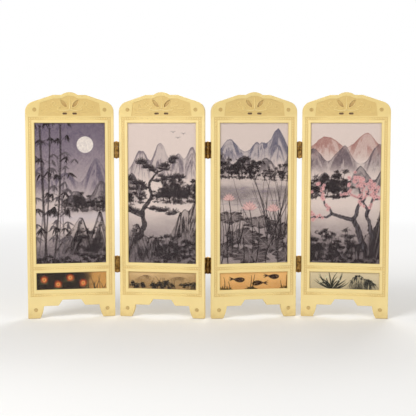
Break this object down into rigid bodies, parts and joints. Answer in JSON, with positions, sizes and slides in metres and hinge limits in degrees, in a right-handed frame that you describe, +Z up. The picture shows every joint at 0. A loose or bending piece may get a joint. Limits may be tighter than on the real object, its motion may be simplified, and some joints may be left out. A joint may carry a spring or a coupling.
{
  "type": "tabletop folding screen",
  "caption": "Tabletop folding screen: hinged picture panels in pale moulded frames with arched crests, bracket feet, tall landscape prints and low strip pictures.",
  "frame": {"origin": "on the table under the middle of the screen, at the foot of its bounding box", "axes": "+Z up, +X along the row of panels, the pictures face -Y"},
  "size_m": [0.4484, 0.0254, 0.28],
  "materials": {
    "frame_plastic": "satin",
    "clear_sheet": "clear",
    "printed_card": "matte print",
    "backing_board": "matte",
    "hinge_brass": "aged",
    "nail_brass": "satin"
  },
  "bodies": {
    "panel_1": {"front_frame_1": "frame_plastic", "rear_frame_1": "frame_plastic", "main_glazing_1": "clear_sheet", "main_picture_1": "printed_card", "main_backing_1": "backing_board", "strip_glazing_1": "clear_sheet", "strip_picture_1": "printed_card", "strip_backing_1": "backing_board", "hinge_nails_1": "nail_brass", "hinge_1_2_lower_left_leaf": "hinge_brass", "hinge_1_2_lower_pin": "hinge_brass", "hinge_1_2_upper_left_leaf": "hinge_brass", "hinge_1_2_upper_pin": "hinge_brass"},
    "panel_2": {"front_frame_2": "frame_plastic", "rear_frame_2": "frame_plastic", "main_glazing_2": "clear_sheet", "main_picture_2": "printed_card", "main_backing_2": "backing_board", "strip_glazing_2": "clear_sheet", "strip_picture_2": "printed_card", "strip_backing_2": "backing_board", "hinge_nails_2": "nail_brass", "hinge_1_2_lower_right_leaf": "hinge_brass", "hinge_1_2_upper_right_leaf": "hinge_brass", "hinge_2_3_lower_left_leaf": "hinge_brass", "hinge_2_3_lower_pin": "hinge_brass", "hinge_2_3_upper_left_leaf": "hinge_brass", "hinge_2_3_upper_pin": "hinge_brass"},
    "panel_3": {"front_frame_3": "frame_plastic", "rear_frame_3": "frame_plastic", "main_glazing_3": "clear_sheet", "main_picture_3": "printed_card", "main_backing_3": "backing_board", "strip_glazing_3": "clear_sheet", "strip_picture_3": "printed_card", "strip_backing_3": "backing_board", "hinge_nails_3": "nail_brass", "hinge_2_3_lower_right_leaf": "hinge_brass", "hinge_2_3_upper_right_leaf": "hinge_brass", "hinge_3_4_lower_left_leaf": "hinge_brass", "hinge_3_4_lower_pin": "hinge_brass", "hinge_3_4_upper_left_leaf": "hinge_brass", "hinge_3_4_upper_pin": "hinge_brass"},
    "panel_4": {"front_frame_4": "frame_plastic", "rear_frame_4": "frame_plastic", "main_glazing_4": "clear_sheet", "main_picture_4": "printed_card", "main_backing_4": "backing_board", "strip_glazing_4": "clear_sheet", "strip_picture_4": "printed_card", "strip_backing_4": "backing_board", "hinge_nails_4": "nail_brass", "hinge_3_4_lower_right_leaf": "hinge_brass", "hinge_3_4_upper_right_leaf": "hinge_brass"}
  },
  "joints": [
    {"name": "fold_1_2", "type": "hinge", "parent": "panel_2", "child": "panel_1", "pos_m": [-0.11366, 0.00596, 0], "axis": [0, 0, 1], "range_deg": [-20, 160]},
    {"name": "fold_2_3", "type": "hinge", "parent": "panel_2", "child": "panel_3", "pos_m": [0, -0.00596, 0], "axis": [0, 0, 1], "range_deg": [-20, 160]},
    {"name": "fold_3_4", "type": "hinge", "parent": "panel_3", "child": "panel_4", "pos_m": [0.11366, 0.00596, 0], "axis": [0, 0, -1], "range_deg": [-20, 160]}
  ]
}
